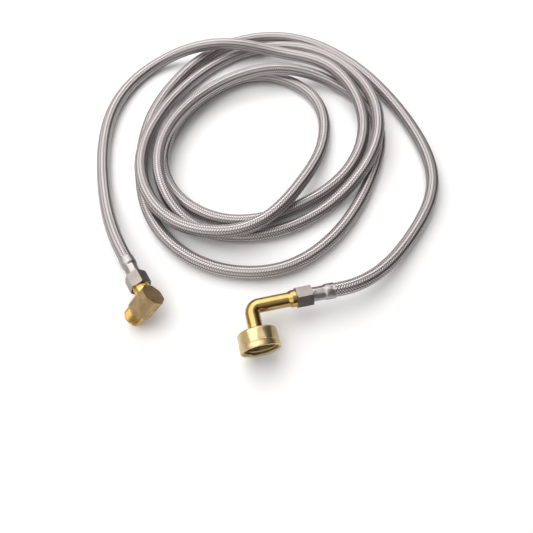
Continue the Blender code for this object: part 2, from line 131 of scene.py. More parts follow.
def smooth_route(points, start_way, end_way, count):
    """Even points along the cubic spline through the route, tangent to both ferrules."""
    places = np.array(points)
    steps = np.linalg.norm(np.diff(places, axis=0), axis=1)
    last = len(places) - 1
    system = np.eye(last + 1)
    wanted = np.zeros_like(places)
    wanted[0], wanted[last] = start_way, end_way
    for index in range(1, last):
        before, after = steps[index - 1], steps[index]
        system[index, index - 1:index + 2] = after, 2 * (before + after), before
        wanted[index] = 3 * (after / before * (places[index] - places[index - 1])
                             + before / after * (places[index + 1] - places[index]))
    slopes = np.linalg.solve(system, wanted)
    share = np.linspace(0.0, 1.0, 60, endpoint=False)[:, None]
    dense = []
    for index in range(last):
        dense.append(
            (2 * share ** 3 - 3 * share ** 2 + 1) * places[index]
            + (share ** 3 - 2 * share ** 2 + share) * steps[index] * slopes[index]
            + (3 * share ** 2 - 2 * share ** 3) * places[index + 1]
            + (share ** 3 - share ** 2) * steps[index] * slopes[index + 1])
    dense = np.vstack(dense + [places[last:]])
    along = np.concatenate(([0.0], np.cumsum(np.linalg.norm(np.diff(dense, axis=0), axis=1))))
    even = np.linspace(0.0, along[-1], count)
    return np.stack([np.interp(even, along, dense[:, axis]) for axis in range(3)], axis=1)


def on_axis(end, height):
    """The point at that height on an elbow's axis towards the hose."""
    return end @ Vector((0.0, 0.0, height))


def put_in_scene(name, data):
    """An object at the origin for a mesh, a curve, a lamp or a camera."""
    made = bpy.data.objects.new(name, data)
    bpy.context.scene.collection.objects.link(made)
    return made


def line_of_points(name, path):
    """A curve of straight steps through the path's points."""
    curve = bpy.data.curves.new(name, "CURVE")
    curve.dimensions = "3D"
    curve.twist_mode = "MINIMUM"
    curve.resolution_u = 1
    curve.render_resolution_u = 0
    spline = curve.splines.new("POLY")
    spline.points.add(len(path) - 1)
    for point, place in zip(spline.points, path):
        point.co = (*place, 1.0)
    return put_in_scene(name, curve)


route = [on_axis(left_end, LEFT_MOUTH + STRAIGHT_OUT)]
route += [Vector(point) for point in ROUTE]
route += [on_axis(right_end, RIGHT_MOUTH + STRAIGHT_OUT)]
free_path = smooth_route(route, left_end.col[2].xyz, -right_end.col[2].xyz, PATH_POINTS)
hose_path = np.vstack((
    [on_axis(left_end, LEFT_MOUTH - INTO_FERRULE)], free_path,
    [on_axis(right_end, RIGHT_MOUTH - INTO_FERRULE)]))
hose_run = float(np.linalg.norm(np.diff(hose_path, axis=0), axis=1).sum())

tube_line = line_of_points("tube_under_braid", hose_path)
tube_line.data.bevel_depth = TUBE_DIAMETER / 2
tube_line.data.bevel_resolution = 4
tube_line.data.use_fill_caps = True


def new_finish(name, colour, metallic, roughness):
    """A plain finish, which the functions below give its variation."""
    made = bpy.data.materials.new(name)
    made.use_nodes = True
    shader = made.node_tree.nodes["Principled BSDF"]
    shader.inputs["Base Color"].default_value = (*colour, 1.0)
    shader.inputs["Metallic"].default_value = metallic
    shader.inputs["Roughness"].default_value = roughness
    return made


def add_node(finish, kind, **values):
    """Add a node, with its sockets or settings given by name."""
    node = finish.node_tree.nodes.new(kind)
    for name, value in values.items():
        if name in node.inputs:
            node.inputs[name].default_value = value
        else:
            setattr(node, name, value)
    return node


def join(finish, start, end):
    finish.node_tree.links.new(start, end)


def shader_of(finish):
    return finish.node_tree.nodes["Principled BSDF"]


def clouds(finish, scale, detail):
    """Soft noise through the piece, from its own place in space."""
    where = add_node(finish, "ShaderNodeTexCoord")
    cloud = add_node(finish, "ShaderNodeTexNoise", Scale=scale, Detail=detail)
    join(finish, where.outputs["Object"], cloud.inputs["Vector"])
    return cloud.outputs["Fac"]


def set_ramp(shades, dark_at, dark, light_at, light):
    """Give a colour ramp its two stops."""
    for stop, place, colour in zip(shades.color_ramp.elements, (dark_at, light_at), (dark, light)):
        stop.position = place
        stop.color = (*colour, 1.0)


def mottle(finish, light, dark, scale):
    """Let the colour drift between two shades, as handled or cast surfaces do."""
    shades = add_node(finish, "ShaderNodeValToRGB")
    set_ramp(shades, 0.35, dark, 0.65, light)
    join(finish, clouds(finish, scale, 4.0), shades.inputs["Fac"])
    join(finish, shades.outputs["Color"], shader_of(finish).inputs["Base Color"])


def wear_gloss(finish, low, high, scale):
    """Let the roughness drift between two values, so that highlights break up."""
    span = add_node(finish, "ShaderNodeMapRange")
    span.inputs["To Min"].default_value = low
    span.inputs["To Max"].default_value = high
    join(finish, clouds(finish, scale, 6.0), span.inputs["Value"])
    join(finish, span.outputs["Result"], shader_of(finish).inputs["Roughness"])


tube_finish = new_finish("tube_plastic", (0.06, 0.055, 0.05), 0.0, 0.6)
mottle(tube_finish, (0.030, 0.026, 0.024), (0.012, 0.010, 0.010), 900.0)
wear_gloss(tube_finish, 0.45, 0.7, 600.0)
tube_line.data.materials.append(tube_finish)
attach(tube_line, "hose")
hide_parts("inner_tube")


# ----------------------------------------------------------------- wire braid
# Stainless wire, braided straight onto the tube: twelve flat bundles are wound each
# way, over two and under two of the others, and both ends are caught in a ferrule.
BUNDLES = 12                         # wound each way
LEAD = 26.0 * MM                     # length of one whole turn of a bundle
BUNDLE_WIDTH = 1.30 * MM
BUNDLE_MIDDLE = 5.52 * MM            # from the hose's centre to a bundle
WEAVE_LIFT = 0.22 * MM
BUNDLE_CROWN = 0.17 * MM
WIRES_IN_BUNDLE = 6
STEPS_BETWEEN_CROSSINGS = 2
BRAID_STRETCHES = 4                  # meshes that the whole braid is shared between
# The next two colours paint shade into the weave: dark where a bundle dips under, the steel's own
# colour where it rides over.
BRAID_PAINTED_DIP_SHADE = (0.040, 0.034, 0.032)    # where a bundle dips under the others
BRAID_TOP = (0.66, 0.61, 0.605)      # where it rides over them
WIRE_RELIEF = 0.06 * MM

leads = round(hose_run / LEAD)
lead = hose_run / leads
bundle_slope = math.atan2(2 * math.pi * BUNDLE_MIDDLE, lead)
crossings = 2 * BUNDLES
one_lead = bmesh.new()
wire_uv = one_lead.loops.layers.uv.new("wires")
for way in (1, -1):
    for bundle in range(BUNDLES):
        strip = bmesh.ops.create_grid(
            one_lead, x_segments=crossings * STEPS_BETWEEN_CROSSINGS, y_segments=2,
            size=0.5)["verts"]
        for face in {face for corner in strip for face in corner.link_faces}:
            for loop in face.loops:
                crossed = 2 * bundle + way * (loop.vert.co.x + 0.5) * crossings + way + 0.5
                loop[wire_uv].uv = (loop.vert.co.y + 0.5, crossed / 4)
        for corner in strip:
            share = corner.co.x + 0.5
            across = corner.co.y * BUNDLE_WIDTH
            over = math.cos(math.pi / 2 * (2 * bundle + way * share * crossings + way + 0.5))
            crown = BUNDLE_CROWN * (1.0 - 8.0 * corner.co.y ** 2)
            radius = BUNDLE_MIDDLE + WEAVE_LIFT * over + crown
            turn = way * 2 * math.pi * share + 2 * math.pi * bundle / BUNDLES
            turn += across * math.cos(bundle_slope) / BUNDLE_MIDDLE
            forward = share * lead - way * across * math.sin(bundle_slope)
            corner.co = (forward, radius * math.cos(turn), radius * math.sin(turn))
for face in one_lead.faces:
    middle = face.calc_center_median()
    if face.normal.dot(Vector((0.0, middle.y, middle.z))) < 0:
        face.normal_flip()
    face.smooth = True

braid_finish = new_finish("stainless_braid", (0.50, 0.46, 0.455), 1.0, 0.28)
wear_gloss(braid_finish, 0.36, 0.46, 60.0)
wire_map = add_node(braid_finish, "ShaderNodeUVMap", uv_map="wires")
# Painted shade: a bundle keeps the steel's colour where it rides over the others, and is painted dark
# towards where it dips under them.
wire_parts = add_node(braid_finish, "ShaderNodeSeparateXYZ")
round_turn = add_node(braid_finish, "ShaderNodeMath", operation="MULTIPLY")
round_turn.inputs[1].default_value = 2 * math.pi
ride_over = add_node(braid_finish, "ShaderNodeMath", operation="COSINE")
painted_weave_shade = add_node(braid_finish, "ShaderNodeValToRGB")
set_ramp(painted_weave_shade, 0.38, BRAID_PAINTED_DIP_SHADE, 0.95, BRAID_TOP)
over_share = add_node(braid_finish, "ShaderNodeMapRange")
over_share.inputs["From Min"].default_value = -1.0
join(braid_finish, wire_map.outputs["UV"], wire_parts.inputs["Vector"])
join(braid_finish, wire_parts.outputs["Y"], round_turn.inputs[0])
join(braid_finish, round_turn.outputs["Value"], ride_over.inputs[0])
join(braid_finish, ride_over.outputs["Value"], over_share.inputs["Value"])
join(braid_finish, over_share.outputs["Result"], painted_weave_shade.inputs["Fac"])
join(braid_finish, painted_weave_shade.outputs["Color"], shader_of(braid_finish).inputs["Base Color"])
wire_waves = add_node(
    braid_finish, "ShaderNodeTexWave", Scale=WIRES_IN_BUNDLE / 6.283, bands_direction="X")
wire_bump = add_node(braid_finish, "ShaderNodeBump", Strength=0.35, Distance=WIRE_RELIEF)
join(braid_finish, wire_map.outputs["UV"], wire_waves.inputs["Vector"])
join(braid_finish, wire_waves.outputs["Fac"], wire_bump.inputs["Height"])
join(braid_finish, wire_bump.outputs["Normal"], shader_of(braid_finish).inputs["Normal"])

guide = line_of_points("braid_guide", hose_path)
leads_laid = 0
for stretch in range(BRAID_STRETCHES):
    leads_here = (leads - leads_laid) // (BRAID_STRETCHES - stretch)
    start_mesh = bpy.data.meshes.new("braid_start")
    one_lead.to_mesh(start_mesh)
    start_mesh.transform(Matrix.Translation((leads_laid * lead, 0.0, 0.0)))
    laid = put_in_scene(f"braid_{stretch + 1}", start_mesh)
    repeat = laid.modifiers.new("repeat", "ARRAY")
    repeat.count = leads_here
    repeat.use_relative_offset = False
    repeat.use_constant_offset = True
    repeat.constant_offset_displace = (lead, 0.0, 0.0)
    repeat.use_merge_vertices = True
    repeat.merge_threshold = 0.02 * MM
    lay = laid.modifiers.new("lay", "CURVE")
    lay.object = guide
    lay.deform_axis = "POS_X"
    bpy.context.view_layer.update()
    shape = laid.evaluated_get(bpy.context.evaluated_depsgraph_get())
    laid_mesh = bpy.data.meshes.new_from_object(shape)
    laid.modifiers.clear()
    laid.data = laid_mesh
    laid_mesh.materials.clear()
    laid_mesh.materials.append(braid_finish)
    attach(laid, "hose")
    leads_laid += leads_here
one_lead.free()
bpy.data.objects.remove(guide)
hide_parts("braid_sleeve")


# -------------------------------------------------------------------- ferrules
# A thin stainless cup at each hose end. It is slid over the braid and pressed between
# eight jaws, which leave flats on the neck and a ring of small marks at the mouth.
NUT_LENGTH = 12.7 * MM
FERRULE_GAP = 0.3 * MM
FERRULE_LENGTH = 18.6 * MM
FERRULE_NECK = 12.0 * MM
FERRULE_MOUTH_RADIUS = 6.5 * MM
FERRULE_MOUTH_BORE = 5.95 * MM
FERRULE_NECK_RADIUS = 5.75 * MM
FERRULE_NECK_FLATS = 10.9 * MM
FERRULE_HOLE = 4.1 * MM
FERRULE_PRESSED = 9.8 * MM           # length of the neck that the jaws close on
FERRULE_SWELLS = 10.4 * MM           # where the neck begins to widen to the mouth
MARKS_FROM = 3.5 * MM                # the ring of marks, from the neck's end
MARKS_TO = 6.1 * MM
MARK_DEPTH = 0.65 * MM               # off the mouth's diameter
PRESS_JAWS = 8
FINE_STEPS = 96                      # corners of a turned piece, a multiple of 6 and of 8


def turned_blank(outline, steps=FINE_STEPS):
    """Turn an outline of (radius, height) points about Z. It is closed, or ends on the axis."""
    shape = bmesh.new()
    corners = [shape.verts.new((radius, 0.0, height)) for radius, height in outline]
    for first, second in zip(corners, corners[1:]):
        shape.edges.new((first, second))
    if outline[0][0] > 0.0:
        shape.edges.new((corners[-1], corners[0]))
    bmesh.ops.spin(
        shape, geom=shape.verts[:] + shape.edges[:], cent=(0, 0, 0), axis=(0, 0, 1),
        angle=2.0 * math.pi, steps=steps, use_merge=True)
    bmesh.ops.remove_doubles(shape, verts=shape.verts, dist=0.001 * MM)
    bmesh.ops.recalc_face_normals(shape, faces=shape.faces)
    return shape


def rounded(radius, height, size, start, steps=5):
    """Points of a quarter round edge about (radius, height), from an angle in degrees."""
    turns = [math.radians(start + 90.0 * step / steps) for step in range(steps + 1)]
    return [(radius + size * math.cos(turn), height + size * math.sin(turn)) for turn in turns]


def mill_flats(shape, count, across, low, high, first=0.0):
    """Cut flats round a turned blank between two heights. The first one faces angle first."""
    spacing = 2 * math.pi / count
    for corner in shape.verts:
        if low <= corner.co.z <= high:
            heading = math.atan2(corner.co.y, corner.co.x) - first
            off = (heading + spacing / 2) % spacing - spacing / 2
            reach = math.hypot(corner.co.x, corner.co.y)
            limit = across / 2 / math.cos(off)
            if reach > limit:
                corner.co.x *= limit / reach
                corner.co.y *= limit / reach


def finished_piece(name, shape, placed, finish, body, sharp=32.0):
    """Put a shape made about an end's local axes in its place, as a piece that rides a body."""
    bmesh.ops.transform(shape, matrix=placed, verts=shape.verts)
    mesh = bpy.data.meshes.new(name)
    shape.to_mesh(mesh)
    shape.free()
    mesh.shade_smooth()
    mesh.set_sharp_from_angle(angle=math.radians(sharp))
    mesh.materials.append(finish)
    piece = put_in_scene(name, mesh)
    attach(piece, body)
    return piece


def along_turning(finish, placed, scale, strength, distance):
    """Fine turning marks in rings about a piece's own axis."""
    where = add_node(finish, "ShaderNodeTexCoord")
    to_axis = add_node(finish, "ShaderNodeMapping", vector_type="TEXTURE")
    to_axis.inputs["Location"].default_value = placed.translation
    to_axis.inputs["Rotation"].default_value = placed.to_euler()
    rings = add_node(finish, "ShaderNodeTexNoise", Scale=1.0, Detail=3.0)
    stretch = add_node(finish, "ShaderNodeMapping")
    stretch.inputs["Scale"].default_value = (0.02 * scale, 0.02 * scale, scale)
    bump = add_node(finish, "ShaderNodeBump", Strength=strength, Distance=distance)
    join(finish, where.outputs["Object"], to_axis.inputs["Vector"])
    join(finish, to_axis.outputs["Vector"], stretch.inputs["Vector"])
    join(finish, stretch.outputs["Vector"], rings.inputs["Vector"])
    join(finish, rings.outputs["Fac"], bump.inputs["Height"])
    join(finish, bump.outputs["Normal"], shader_of(finish).inputs["Normal"])


for side, end, mouth in (("left", left_end, LEFT_MOUTH), ("right", right_end, RIGHT_MOUTH)):
    start = mouth - FERRULE_LENGTH
    neck_end = start + FERRULE_NECK
    wall = FERRULE_MOUTH_RADIUS - FERRULE_MOUTH_BORE
    outline = [(FERRULE_HOLE, start)]
    outline += rounded(FERRULE_NECK_RADIUS - 0.5 * MM, start + 0.5 * MM, 0.5 * MM, -90.0)
    outline += [(FERRULE_NECK_RADIUS, start + FERRULE_PRESSED * step / 8) for step in range(1, 9)]
    outline += [(FERRULE_NECK_RADIUS + 0.25 * MM, start + FERRULE_SWELLS),
                (FERRULE_MOUTH_RADIUS - 0.1 * MM, neck_end - 0.7 * MM),
                (FERRULE_MOUTH_RADIUS, neck_end - 0.2 * MM)]
    outline += [(FERRULE_MOUTH_RADIUS, neck_end + MARKS_FROM - 0.1 * MM),
                (FERRULE_MOUTH_RADIUS - 0.05 * MM, neck_end + MARKS_FROM + 0.2 * MM),
                (FERRULE_MOUTH_RADIUS - 0.05 * MM, neck_end + MARKS_TO - 0.1 * MM)]
    outline += rounded(FERRULE_MOUTH_RADIUS - 0.25 * MM, mouth - 0.2 * MM, 0.2 * MM, 0.0)
    outline += [(FERRULE_MOUTH_BORE, mouth), (FERRULE_MOUTH_BORE, neck_end),
                (FERRULE_NECK_RADIUS - wall, neck_end - 1.6 * MM),
                (FERRULE_NECK_RADIUS - wall, start + wall), (FERRULE_HOLE, start + wall)]
    shape = turned_blank(outline)
    mill_flats(
        shape, PRESS_JAWS, FERRULE_NECK_FLATS, start + 1.4 * MM, start + FERRULE_PRESSED + 0.1 * MM)
    mill_flats(
        shape, PRESS_JAWS, 2 * FERRULE_MOUTH_RADIUS - MARK_DEPTH,
        neck_end + MARKS_FROM, neck_end + MARKS_TO)
    ferrule_finish = new_finish(side + "_ferrule_steel", (0.36, 0.33, 0.32), 1.0, 0.36)
    mottle(ferrule_finish, (0.42, 0.39, 0.385), (0.34, 0.315, 0.31), 90.0)
    wear_gloss(ferrule_finish, 0.32, 0.42, 120.0)
    pressed = finished_piece(
        side + "_crimped_ferrule", shape, end, ferrule_finish, "hose")
    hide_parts(side + "_ferrule")


# -------------------------------------------------------- insert stems, gaskets
# Each end holds a barbed brass stem, turned from rod, whose flange the nut pulls up,
# and a moulded black rubber cone that seals the stem against the elbow.
stem_finish = new_finish("turned_brass", (0.60, 0.43, 0.19), 1.0, 0.30)
mottle(stem_finish, (0.68, 0.50, 0.23), (0.50, 0.35, 0.14), 420.0)
wear_gloss(stem_finish, 0.22, 0.42, 700.0)
rubber_finish = new_finish("gasket_rubber", (0.03, 0.03, 0.03), 0.0, 0.7)
mottle(rubber_finish, (0.040, 0.039, 0.038), (0.020, 0.020, 0.019), 1200.0)
wear_gloss(rubber_finish, 0.55, 0.8, 900.0)


def refinish(node, finish):
    """Give a CAD node its finish."""
    frame["nodes"][node].data.materials.clear()
    frame["nodes"][node].data.materials.append(finish)


for side in ("left", "right"):
    refinish(side + "_insert_stem", stem_finish)
    refinish(side + "_cone_gasket", rubber_finish)


# ----------------------------------------------------------------- swivel nuts
# Hexagonal nuts, one on each end: turned from bar with both ends chamfered, milled,
# tapped, and plated with nickel. A back wall pulls on the stem's flange.
NUT_FLATS = 15.9 * MM
NUT_BORE = 7.25 * MM
NUT_BACK_WALL = 3.2 * MM
NUT_HOLE = 4.4 * MM
NUT_CHAMFER = 0.95 * MM
NUT_CHAMFER_HEIGHT = 0.6 * MM
RIGHT_NUT_TURN = math.radians(18.5)  # where the right nut has stopped
FINE_THREAD = 1.06 * MM              # pitch of the compression thread


def thread_ridge(shape, radius, height, pitch, low, high, inward=False):
    """Wind one ridge of thread round Z on a surface of that radius, between two heights."""
    lift = -height if inward else height
    sunk = -0.05 * lift
    profile = [(radius + sunk, -0.42), (radius + lift, -0.14),
               (radius + lift, 0.14), (radius + sunk, 0.42)]
    row = [shape.verts.new((reach, 0.0, low + (share + 0.5) * pitch)) for reach, share in profile]
    edges = [shape.edges.new(pair) for pair in zip(row, row[1:])]
    turns = (high - low) / pitch - 1.0
    steps = round(48 * turns)
    bmesh.ops.spin(
        shape, geom=row + edges, cent=(0, 0, 0), axis=(0, 0, 1), angle=2 * math.pi * turns,
        steps=steps, dvec=(0, 0, turns * pitch / steps))


for side, end, mouth, body, stopped_at in (
        ("left", left_end, LEFT_MOUTH, "left_nut", 0.0),
        ("right", right_end, RIGHT_MOUTH, "right_nut", RIGHT_NUT_TURN)):
    nut_end = mouth - FERRULE_LENGTH - FERRULE_GAP
    nut_start = nut_end - NUT_LENGTH
    corner = NUT_FLATS / 2 / math.cos(math.pi / 6)
    shares = [step / 6 for step in range(7)]
    outline = [(NUT_BORE, nut_start + 0.5 * MM), (NUT_BORE + 0.5 * MM, nut_start)]
    outline += [(corner - NUT_CHAMFER * (1 - share), nut_start + NUT_CHAMFER_HEIGHT * share)
                for share in shares]
    outline += [(corner - NUT_CHAMFER * share, nut_end - NUT_CHAMFER_HEIGHT * (1 - share))
                for share in shares]
    outline += [(NUT_HOLE + 0.3 * MM, nut_end), (NUT_HOLE, nut_end - 0.3 * MM),
                (NUT_HOLE, nut_end - NUT_BACK_WALL), (NUT_BORE, nut_end - NUT_BACK_WALL)]
    shape = turned_blank(outline)
    mill_flats(shape, 6, NUT_FLATS, nut_start, nut_end)
    hex_edges = [edge for edge in shape.edges if edge.calc_face_angle(0.0) > math.radians(50.0)
                 and abs(edge.verts[0].co.z - edge.verts[1].co.z) > 4 * MM
                 and edge.verts[0].co.xy.length > NUT_FLATS / 2]
    bmesh.ops.bevel(
        shape, geom=hex_edges, offset=0.22 * MM, offset_type="OFFSET", segments=2, profile=0.5,
        affect="EDGES", material=-1, clamp_overlap=True)
    bmesh.ops.rotate(
        shape, verts=shape.verts, cent=(0, 0, 0), matrix=Matrix.Rotation(stopped_at, 3, "Z"))
    nut_finish = new_finish(side + "_nut_nickel", (0.25, 0.22, 0.205), 1.0, 0.30)
    mottle(nut_finish, (0.27, 0.235, 0.22), (0.22, 0.19, 0.175), 120.0)
    wear_gloss(nut_finish, 0.24, 0.38, 300.0)
    along_turning(nut_finish, end, 2200.0, 0.25, 0.00004)
    nut = finished_piece(
        side + "_hexagon_nut", shape, end, nut_finish, body, 20.0)
    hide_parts(side + "_swivel_nut")


# ----------------------------------------------------------------- block elbow
# The left elbow is cut from eight-sided brass bar, left with the mill's dull faces.
# It is turned down to a tapered pipe nipple and takes a threaded boss for the nut.
BAR_FLATS = 19.05 * MM
BAR_BACK = 7.3 * MM
BAR_FRONT = 11.6 * MM
NIPPLE_REACH = 22.3 * MM
NIPPLE_RADIUS = 8.45 * MM
NIPPLE_END_RADIUS = 8.15 * MM
NIPPLE_BORE = 5.2 * MM
BOSS_RADIUS = 6.9 * MM
BOSS_BORE = 3.7 * MM
BOSS_END = 17.225 * MM
PIPE_THREAD = 1.41 * MM              # pitch
PIPE_RIDGE = 0.30 * MM
BOSS_RIDGE = 0.33 * MM
TO_OUTLET = Matrix.Rotation(math.radians(90.0), 4, "Y")

bar_corner = BAR_FLATS / 2 / math.cos(math.pi / 8)
groove = NIPPLE_RADIUS - PIPE_RIDGE
outline = [(0.0, -BAR_BACK), (bar_corner - 0.15 * MM, -BAR_BACK), (bar_corner, -BAR_BACK + 0.15 * MM),
           (bar_corner, BAR_FRONT - 0.15 * MM), (bar_corner - 0.15 * MM, BAR_FRONT),
           (groove + 0.25 * MM, BAR_FRONT), (groove, BAR_FRONT + 0.25 * MM),
           (NIPPLE_END_RADIUS - PIPE_RIDGE, NIPPLE_REACH - 1.0 * MM),
           (NIPPLE_END_RADIUS - 1.2 * MM, NIPPLE_REACH), (NIPPLE_BORE + 0.3 * MM, NIPPLE_REACH),
           (NIPPLE_BORE, NIPPLE_REACH - 0.3 * MM), (NIPPLE_BORE, -2.0 * MM), (0.0, -4.5 * MM)]
shape = turned_blank(outline)
mill_flats(shape, 8, BAR_FLATS, -BAR_BACK - MM, BAR_FRONT)
bar_edges = [edge for edge in shape.edges if edge.calc_face_angle(0.0) > math.radians(38.0)
             and abs(edge.verts[0].co.z - edge.verts[1].co.z) > 10 * MM
             and edge.verts[0].co.xy.length > BAR_FLATS / 2]
bmesh.ops.bevel(
    shape, geom=bar_edges, offset=0.2 * MM, offset_type="OFFSET", segments=2, profile=0.5,
    affect="EDGES", material=-1, clamp_overlap=True)
thread_ridge(
    shape, groove, PIPE_RIDGE, PIPE_THREAD, BAR_FRONT + 0.3 * MM, NIPPLE_REACH - 0.4 * MM)
# The nipple's thread tapers towards its end.
for corner_point in shape.verts:
    reach = corner_point.co.xy.length
    if corner_point.co.z > BAR_FRONT + 0.3 * MM and reach > groove - 0.6 * MM:
        share = (corner_point.co.z - BAR_FRONT) / (NIPPLE_REACH - BAR_FRONT)
        corner_point.co.xy *= 1.0 - share * (NIPPLE_RADIUS - NIPPLE_END_RADIUS) / NIPPLE_RADIUS * 0.6
bmesh.ops.transform(shape, matrix=TO_OUTLET, verts=shape.verts)
boss = turned_blank([
    (BOSS_BORE, 7.0 * MM), (BOSS_RADIUS - 0.35 * MM, 7.0 * MM),
    (BOSS_RADIUS - 0.35 * MM, BOSS_END - 0.5 * MM),
    (BOSS_RADIUS - 0.85 * MM, BOSS_END), (BOSS_BORE, BOSS_END)])
thread_ridge(
    boss, BOSS_RADIUS - 0.35 * MM, BOSS_RIDGE, FINE_THREAD,
    BAR_FLATS / 2 + 0.2 * MM, BOSS_END - 0.3 * MM)
boss_mesh = bpy.data.meshes.new("boss")
boss.to_mesh(boss_mesh)
boss.free()
shape.from_mesh(boss_mesh)
bmesh.ops.recalc_face_normals(shape, faces=shape.faces)
bar_finish = new_finish("bar_brass", (0.42, 0.29, 0.15), 1.0, 0.42)
mottle(bar_finish, (0.46, 0.33, 0.175), (0.34, 0.23, 0.115), 220.0)
wear_gloss(bar_finish, 0.34, 0.50, 500.0)
along_turning(bar_finish, left_end @ TO_OUTLET, 2200.0, 0.30, 0.00005)
cut_finish = new_finish("cut_brass", (0.66, 0.43, 0.14), 1.0, 0.22)
mottle(cut_finish, (0.70, 0.47, 0.16), (0.56, 0.35, 0.11), 300.0)
wear_gloss(cut_finish, 0.16, 0.30, 400.0)
for face in shape.faces:
    middle = face.calc_center_median()
    on_nipple = middle.x > BAR_FRONT + 0.1 * MM
    on_boss = middle.z > BAR_FLATS / 2 + 0.1 * MM and middle.xy.length < BOSS_RADIUS + 0.2 * MM
    face.material_index = 1 if on_nipple or on_boss else 0
bar_elbow = finished_piece(
    "bar_elbow", shape, left_end, bar_finish, "left_elbow", 26.0)
bar_elbow.data.materials.append(cut_finish)
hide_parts("block_elbow")


# ------------------------------------------------------------------ tube elbow
# The right elbow is brass tube, swelled into a collar for its nut, bent square over a
# small former and polished. Its other end is spread into a flange in the coupling.
ELBOW_TUBE = 5.75 * MM
ELBOW_WALL = 1.1 * MM
ELBOW_BEND = 6.05 * MM
COLLAR_START = 32.6 * MM
FLARE_START = 29.5 * MM
SEAT = 40.3 * MM
COUPLING_REACH = 35.4 * MM
COUPLING_LENGTH = 15.4 * MM
COUPLING_BACK_WALL = 2.4 * MM
FLANGE_RADIUS = 9.0 * MM
FLANGE_LENGTH = 1.8 * MM
BEND_STEPS = 14


def bent_shell(rings, sides):
    """Join a closed chain of rings, each a frame and a radius, into one tube wall."""
    shape = bmesh.new()
    placed, radius = rings[0]
    bmesh.ops.create_circle(shape, segments=sides, radius=radius, matrix=placed)
    first = shape.edges[:]
    last = first
    for next_placed, next_radius in rings[1:]:
        grown = bmesh.ops.extrude_edge_only(shape, edges=last)["geom"]
        moved = [part for part in grown if isinstance(part, bmesh.types.BMVert)]
        move = next_placed @ Matrix.Scale(next_radius / radius, 4) @ placed.inverted()
        bmesh.ops.transform(shape, matrix=move, verts=moved)
        last = [part for part in grown if isinstance(part, bmesh.types.BMEdge)
                and all(corner in moved for corner in part.verts)]
        placed, radius = next_placed, next_radius
    bmesh.ops.bridge_loops(shape, edges=first + last)
    bmesh.ops.recalc_face_normals(shape, faces=shape.faces)
    return shape


def up_leg(height):
    """Place on the straight leg that runs to the nut."""
    return Matrix.Translation((0, 0, height))


def round_bend(angle):
    """Place round the bend, from the nut's leg at 0 to the outlet's at a right angle."""
    pivot = Matrix.Translation((ELBOW_BEND, 0, ELBOW_BEND))
    return pivot @ Matrix.Rotation(-angle, 4, "Y") @ pivot.inverted() @ up_leg(ELBOW_BEND)


def down_outlet(reach):
    """Place on the leg that runs out to the coupling."""
    return Matrix.Translation((reach, 0, 0)) @ TO_OUTLET @ Matrix.Rotation(math.pi, 4, "Y")


flange_start = COUPLING_REACH - COUPLING_LENGTH + COUPLING_BACK_WALL + 0.3 * MM
flange_end = flange_start + FLANGE_LENGTH
bore = ELBOW_TUBE - ELBOW_WALL
bends = [round_bend(math.pi / 2 * step / BEND_STEPS) for step in range(BEND_STEPS + 1)]
swell = BOSS_RADIUS - ELBOW_TUBE
rings = [(up_leg(SEAT), BOSS_RADIUS - 0.5 * MM), (up_leg(SEAT - 0.5 * MM), BOSS_RADIUS),
         (up_leg(COLLAR_START + 0.5 * MM), BOSS_RADIUS)]
rings += [(up_leg(COLLAR_START + 0.5 * MM - (COLLAR_START + 0.5 * MM - FLARE_START) * step / 10),
           ELBOW_TUBE + swell * (0.5 + 0.5 * math.cos(math.pi * step / 10)))
          for step in range(1, 11)]
rings += [(up_leg(20.0 * MM), ELBOW_TUBE)] + [(placed, ELBOW_TUBE) for placed in bends]
rings += [(down_outlet(flange_start), ELBOW_TUBE), (down_outlet(flange_start), FLANGE_RADIUS),
          (down_outlet(flange_end), FLANGE_RADIUS), (down_outlet(flange_end), bore)]
rings += [(placed, bore) for placed in reversed(bends)] + [(up_leg(SEAT), bore)]
shape = bent_shell(rings, 64)
tube_elbow_finish = new_finish("polished_brass", (0.50, 0.35, 0.13), 1.0, 0.18)
mottle(tube_elbow_finish, (0.48, 0.34, 0.135), (0.40, 0.275, 0.10), 110.0)
wear_gloss(tube_elbow_finish, 0.12, 0.24, 260.0)
along_turning(tube_elbow_finish, right_end, 1200.0, 0.12, 0.00005)
bent_elbow = finished_piece(
    "bent_tube_elbow", shape, right_end, tube_elbow_finish, "right_elbow", 40.0)
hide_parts("tube_elbow")


# ---------------------------------------------------------------- coupling nut
# The garden-hose coupling turns freely on the tube's flange. It is a brass forging,
# brushed, with eight flats for the fingers above a plain skirt and a coarse thread.
COUPLING_RADIUS = 15.75 * MM
COUPLING_BORE = 13.4 * MM
COUPLING_HOLE = ELBOW_TUBE + 0.3 * MM
GRIPS = 8
GRIP_FLATS = 30.7 * MM
GRIP_TURN = math.radians(40.6)       # where the coupling has stopped on its tube
GRIP_LENGTH = 10.5 * MM
HOSE_THREAD = 2.21 * MM              # pitch
HOSE_RIDGE = 0.75 * MM

start = COUPLING_REACH - COUPLING_LENGTH
end_height = COUPLING_REACH
grip_end = start + GRIP_LENGTH
outline = [(COUPLING_HOLE, start + 0.3 * MM), (COUPLING_HOLE + 0.3 * MM, start)]
outline += rounded(COUPLING_RADIUS - 2.0 * MM, start + 1.7 * MM, 1.7 * MM, -90.0, 8)
outline += [(COUPLING_RADIUS - 0.3 * MM + 0.25 * MM * step / 8,
             start + 1.7 * MM + (GRIP_LENGTH - 2.4 * MM) * step / 8) for step in range(1, 9)]
outline += [(COUPLING_RADIUS - 0.05 * MM, grip_end - 0.2 * MM),
            (COUPLING_RADIUS - 0.05 * MM, grip_end + 0.15 * MM),
            (COUPLING_RADIUS - 0.35 * MM, grip_end + 0.45 * MM),
            (COUPLING_RADIUS - 0.35 * MM, grip_end + 0.9 * MM),
            (COUPLING_RADIUS - 0.05 * MM, grip_end + 1.2 * MM),
            (COUPLING_RADIUS, end_height - 1.6 * MM)]
outline += rounded(COUPLING_RADIUS - 0.5 * MM, end_height - 0.5 * MM, 0.5 * MM, 0.0)
